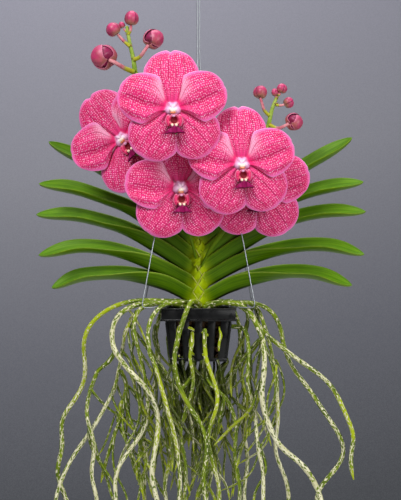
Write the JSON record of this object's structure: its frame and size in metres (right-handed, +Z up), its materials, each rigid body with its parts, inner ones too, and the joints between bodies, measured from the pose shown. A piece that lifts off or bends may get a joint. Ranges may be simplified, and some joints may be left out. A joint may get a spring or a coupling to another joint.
{
  "type": "vanda orchid in hanging basket",
  "caption": "Vanda orchid with strap leaves, two flower spikes and long aerial roots, growing in a square slatted basket that hangs from wires and a hook.",
  "frame": {"origin": "inside of the crown of the hanging hook, where it rests on what carries it", "axes": "+Z up along the hanging line, -Y towards the front, which the flowers face, +X to the right seen from the front"},
  "size_m": [0.3632, 0.1779, 0.6887],
  "materials": {
    "basket": "moulded black polypropylene, satin, light at the edges",
    "wire": "galvanised steel wire",
    "bark": "coarse conifer bark chips",
    "stem": "living stem in old leaf sheaths, yellow-green",
    "leaf": "living leaf, smooth and half glossy, deep green",
    "spike": "living flower stalks and buds, green to dusky pink",
    "tepal": "living petals and sepals, hot pink with a net of paler dots",
    "lip": "living lip, deep magenta, cream at the throat",
    "column": "living column, white to pale lilac, yellow cap",
    "root": "aerial roots, green with a silvery cream felt, yellow-green tips"
  },
  "bodies": {
    "root": {"basket": "basket", "bark_medium": "bark", "wire_front_left": "wire", "wire_front_right": "wire", "wire_back_left": "wire", "wire_back_right": "wire", "wire_ferrule": "wire", "hanging_hook": "wire", "stem": "stem", "leaf_left_1": "leaf", "leaf_left_2": "leaf", "leaf_left_3": "leaf", "leaf_left_4": "leaf", "leaf_left_5": "leaf", "leaf_right_1": "leaf", "leaf_right_2": "leaf", "leaf_right_3": "leaf", "leaf_right_4": "leaf", "leaf_right_5": "leaf", "leaf_young_left": "leaf", "leaf_young_right": "leaf", "flower_a_sepals": "tepal", "flower_a_petals": "tepal", "flower_a_lip": "lip", "flower_a_column": "column", "flower_b_sepals": "tepal", "flower_b_petals": "tepal", "flower_b_lip": "lip", "flower_b_column": "column", "flower_c_sepals": "tepal", "flower_c_petals": "tepal", "flower_c_lip": "lip", "flower_c_column": "column", "flower_d_sepals": "tepal", "flower_d_petals": "tepal", "flower_d_lip": "lip", "flower_d_column": "column", "flower_e_sepals": "tepal", "flower_e_petals": "tepal", "flower_e_lip": "lip", "flower_e_column": "column", "spike_left": "spike", "spike_right": "spike", "root_left_1": "root", "root_left_2": "root", "root_left_3": "root", "root_left_4": "root", "root_left_5": "root", "root_front_left": "root", "root_front_bark_left": "root", "root_front_bark_right": "root", "root_right_1": "root", "root_right_2": "root", "root_right_3": "root", "root_right_4": "root", "root_right_bark": "root", "root_base_left": "root", "root_base_right": "root", "root_back_left": "root", "root_back_right": "root"}
  },
  "joints": []
}
